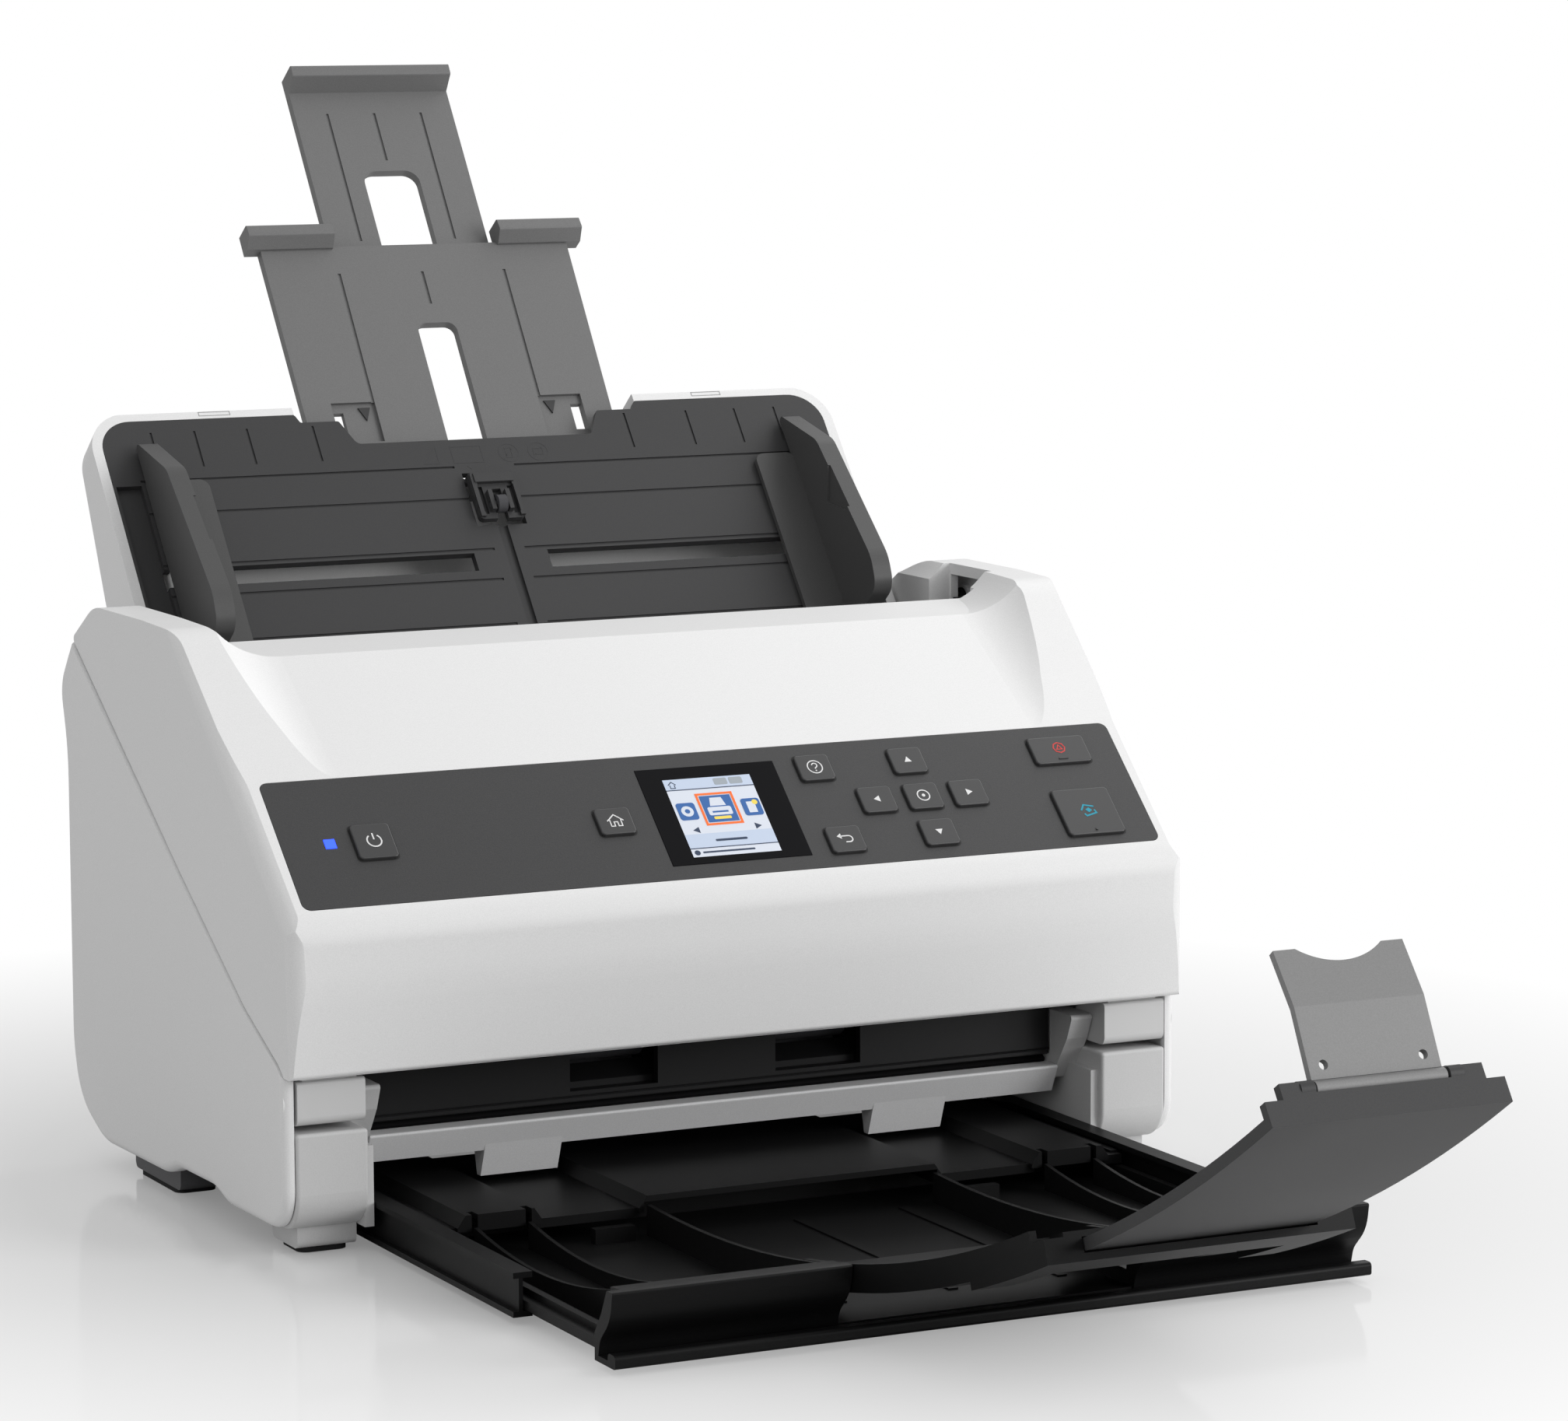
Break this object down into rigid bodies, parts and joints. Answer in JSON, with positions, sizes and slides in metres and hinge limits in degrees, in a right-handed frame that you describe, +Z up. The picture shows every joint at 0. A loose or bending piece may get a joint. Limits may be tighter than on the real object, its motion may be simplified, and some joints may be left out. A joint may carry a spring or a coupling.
{
  "type": "sheet fed document scanner",
  "caption": "Desktop sheet fed document scanner with a rear input tray with edge guides and extensions, a sloping control panel with a small screen, and a curved pull-out output tray in front",
  "frame": {"origin": "on the table, at the middle of the box round the whole machine with its trays drawn out; the front face of the legs is 27.9 mm behind it", "axes": "+Z up, -Y towards the person using the machine (output tray side), +X to that person's right"},
  "size_m": [0.289, 0.6182, 0.3203],
  "materials": {
    "white_plastic": "fine moulded texture",
    "dark_plastic": "fine moulded texture",
    "grey_plastic": "fine moulded texture",
    "black_plastic": "fine moulded texture",
    "natural_plastic": "plain",
    "screen": "glossy",
    "lens": "glossy",
    "clear_glass": "polished",
    "soft_rubber": "ground",
    "grey_rubber": "ground",
    "bright_steel": "bright",
    "bronze_bush": "plain",
    "green_board": "lacquered"
  },
  "bodies": {
    "base": {"base_frame": "grey_plastic", "left_side_panel": "white_plastic", "right_side_panel": "white_plastic", "front_legs": "white_plastic", "rear_cover": "white_plastic", "exit_bar": "dark_plastic", "rear_paper_guide": "dark_plastic", "rear_scan_glass": "clear_glass", "rear_image_sensor": "black_plastic", "main_board": "green_board", "feed_motor": "bright_steel", "rear_connectors": "black_plastic", "rubber_feet": "soft_rubber", "case_screws": "bright_steel", "shaft_bearings": "bronze_bush", "drive_belts": "soft_rubber", "tray_shell": "white_plastic", "tray_bed": "dark_plastic"},
    "scanner_cover": {"cover_shell": "white_plastic", "control_panel": "dark_plastic", "lcd_display": "screen", "status_light": "lens", "front_paper_guide": "dark_plastic", "front_scan_glass": "clear_glass", "front_image_sensor": "black_plastic"},
    "feed_drive": {"feed_roller": "grey_rubber", "feed_gear": "natural_plastic"},
    "pickup_drive": {"pickup_roller": "grey_rubber", "pickup_pulley": "natural_plastic"},
    "exit_drive": {"exit_roller": "grey_rubber", "exit_pulley": "natural_plastic"},
    "motor_drive": {"motor_pinion": "natural_plastic"},
    "separation": {"separation_roller": "grey_rubber"},
    "feed_idler_set": {"feed_idlers": "grey_rubber"},
    "eject_idler_set": {"eject_idlers": "grey_rubber"},
    "release_lever": {"cover_lever": "dark_plastic"},
    "left_guide": {"left_edge_guide": "grey_plastic"},
    "right_guide": {"right_edge_guide": "grey_plastic"},
    "guide_gear": {"guide_pinion": "natural_plastic"},
    "support_flap": {"paper_support": "dark_plastic"},
    "support_wheel": {"support_roller": "grey_rubber"},
    "lower_slide": {"lower_tray_extension": "grey_plastic"},
    "upper_slide": {"upper_tray_extension": "grey_plastic"},
    "tray_carriage": {"tray_frame": "black_plastic", "tray_top_plate": "black_plastic"},
    "stacker": {"stacker_tray": "black_plastic"},
    "curved_slide": {"curved_extension": "black_plastic"},
    "leaf": {"extension_leaf": "grey_plastic"},
    "flap": {"stopper_flap": "grey_plastic"},
    "power_button_body": {"power_button": "dark_plastic"},
    "home_button_body": {"home_button": "dark_plastic"},
    "help_button_body": {"help_button": "dark_plastic"},
    "back_button_body": {"back_button": "dark_plastic"},
    "up_button_body": {"up_button": "dark_plastic"},
    "left_button_body": {"left_button": "dark_plastic"},
    "ok_button_body": {"ok_button": "dark_plastic"},
    "right_button_body": {"right_button": "dark_plastic"},
    "down_button_body": {"down_button": "dark_plastic"},
    "stop_button_body": {"stop_button": "dark_plastic"},
    "start_button_body": {"start_button": "dark_plastic"}
  },
  "joints": [
    {"name": "cover_opening", "type": "hinge", "parent": "base", "child": "scanner_cover", "pos_m": [0, 0.03443, 0.0437], "axis": [1, 0, 0], "range_deg": [0, 70]},
    {"name": "lever_lift", "type": "hinge", "parent": "scanner_cover", "child": "release_lever", "pos_m": [0, 0.15893, 0.155], "axis": [-1, 0, 0], "range_deg": [0, 12]},
    {"name": "power_button_press", "type": "slide", "parent": "scanner_cover", "child": "power_button_body", "axis": [0, 0.6743, -0.7385], "range_m": [0, 0.0008], "stiffness_N_per_m": 400},
    {"name": "home_button_press", "type": "slide", "parent": "scanner_cover", "child": "home_button_body", "axis": [0, 0.6743, -0.7385], "range_m": [0, 0.0008], "stiffness_N_per_m": 400},
    {"name": "help_button_press", "type": "slide", "parent": "scanner_cover", "child": "help_button_body", "axis": [0, 0.6743, -0.7385], "range_m": [0, 0.0008], "stiffness_N_per_m": 400},
    {"name": "back_button_press", "type": "slide", "parent": "scanner_cover", "child": "back_button_body", "axis": [0, 0.6743, -0.7385], "range_m": [0, 0.0008], "stiffness_N_per_m": 400},
    {"name": "up_button_press", "type": "slide", "parent": "scanner_cover", "child": "up_button_body", "axis": [0, 0.6743, -0.7385], "range_m": [0, 0.0008], "stiffness_N_per_m": 400},
    {"name": "left_button_press", "type": "slide", "parent": "scanner_cover", "child": "left_button_body", "axis": [0, 0.6743, -0.7385], "range_m": [0, 0.0008], "stiffness_N_per_m": 400},
    {"name": "ok_button_press", "type": "slide", "parent": "scanner_cover", "child": "ok_button_body", "axis": [0, 0.6743, -0.7385], "range_m": [0, 0.0008], "stiffness_N_per_m": 400},
    {"name": "right_button_press", "type": "slide", "parent": "scanner_cover", "child": "right_button_body", "axis": [0, 0.6743, -0.7385], "range_m": [0, 0.0008], "stiffness_N_per_m": 400},
    {"name": "down_button_press", "type": "slide", "parent": "scanner_cover", "child": "down_button_body", "axis": [0, 0.6743, -0.7385], "range_m": [0, 0.0008], "stiffness_N_per_m": 400},
    {"name": "stop_button_press", "type": "slide", "parent": "scanner_cover", "child": "stop_button_body", "axis": [0, 0.6743, -0.7385], "range_m": [0, 0.0008], "stiffness_N_per_m": 400},
    {"name": "start_button_press", "type": "slide", "parent": "scanner_cover", "child": "start_button_body", "axis": [0, 0.6743, -0.7385], "range_m": [0, 0.0008], "stiffness_N_per_m": 400},
    {"name": "feed_turn", "type": "hinge", "parent": "base", "child": "feed_drive", "pos_m": [0, 0.14006, 0.09433], "axis": [1, 0, 0], "continuous": true},
    {"name": "pickup_turn", "type": "hinge", "parent": "base", "child": "pickup_drive", "pos_m": [0, 0.15412, 0.10869], "axis": [1, 0, 0], "continuous": true},
    {"name": "exit_turn", "type": "hinge", "parent": "base", "child": "exit_drive", "pos_m": [0, 0.07011, 0.03615], "axis": [1, 0, 0], "continuous": true},
    {"name": "motor_turn", "type": "hinge", "parent": "base", "child": "motor_drive", "pos_m": [0, 0.15105, 0.07528], "axis": [1, 0, 0], "continuous": true},
    {"name": "separation_turn", "type": "hinge", "parent": "scanner_cover", "child": "separation", "pos_m": [0, 0.13672, 0.12263], "axis": [1, 0, 0], "continuous": true},
    {"name": "feed_idler_turn", "type": "hinge", "parent": "scanner_cover", "child": "feed_idler_set", "pos_m": [0, 0.12655, 0.10515], "axis": [1, 0, 0], "continuous": true},
    {"name": "eject_idler_turn", "type": "hinge", "parent": "scanner_cover", "child": "eject_idler_set", "pos_m": [0, 0.06121, 0.04859], "axis": [1, 0, 0], "continuous": true},
    {"name": "left_guide_travel", "type": "slide", "parent": "base", "child": "left_guide", "axis": [1, 0, 0], "range_m": [0, 0.08]},
    {"name": "right_guide_travel", "type": "slide", "parent": "base", "child": "right_guide", "axis": [-1, 0, 0], "range_m": [0, 0.08]},
    {"name": "guide_pinion_turn", "type": "hinge", "parent": "base", "child": "guide_gear", "pos_m": [0, 0.19384, 0.1681], "axis": [0, -0.7804, 0.6252], "range_deg": [-600, 600]},
    {"name": "support_lift", "type": "hinge", "parent": "base", "child": "support_flap", "pos_m": [0, 0.20958, 0.19367], "axis": [-1, 0, 0], "range_deg": [0, 28]},
    {"name": "support_wheel_turn", "type": "hinge", "parent": "support_flap", "child": "support_wheel", "pos_m": [0, 0.19935, 0.18778], "axis": [1, 0, 0], "continuous": true},
    {"name": "lower_extension_travel", "type": "slide", "parent": "base", "child": "lower_slide", "axis": [0, -0.5721, -0.8202], "range_m": [0, 0.058]},
    {"name": "upper_extension_travel", "type": "slide", "parent": "lower_slide", "child": "upper_slide", "axis": [0, -0.5721, -0.8202], "range_m": [0, 0.0598]},
    {"name": "output_tray_travel", "type": "slide", "parent": "base", "child": "tray_carriage", "axis": [0, 1, 0], "range_m": [0, 0.09]},
    {"name": "stacker_travel", "type": "slide", "parent": "tray_carriage", "child": "stacker", "axis": [0, 1, 0], "range_m": [0, 0.048]},
    {"name": "curved_extension_travel", "type": "hinge", "parent": "stacker", "child": "curved_slide", "pos_m": [0, -0.02707, 0.511], "axis": [1, 0, 0], "range_deg": [0, 11.5]},
    {"name": "leaf_travel", "type": "hinge", "parent": "curved_slide", "child": "leaf", "pos_m": [0, -0.02707, 0.511], "axis": [1, 0, 0], "range_deg": [0, 10]},
    {"name": "stopper_fold", "type": "hinge", "parent": "leaf", "child": "flap", "pos_m": [0, -0.30257, 0.0972], "axis": [-1, 0, 0], "range_deg": [0, 88]}
  ],
  "couplings": [
    {"joint": "pickup_turn", "follows": "feed_turn", "ratio": 1},
    {"joint": "exit_turn", "follows": "feed_turn", "ratio": 1.25},
    {"joint": "motor_turn", "follows": "feed_turn", "ratio": -2.6667},
    {"joint": "right_guide_travel", "follows": "left_guide_travel", "ratio": 1},
    {"joint": "guide_pinion_turn", "follows": "left_guide_travel", "rad_per_m": -125}
  ]
}
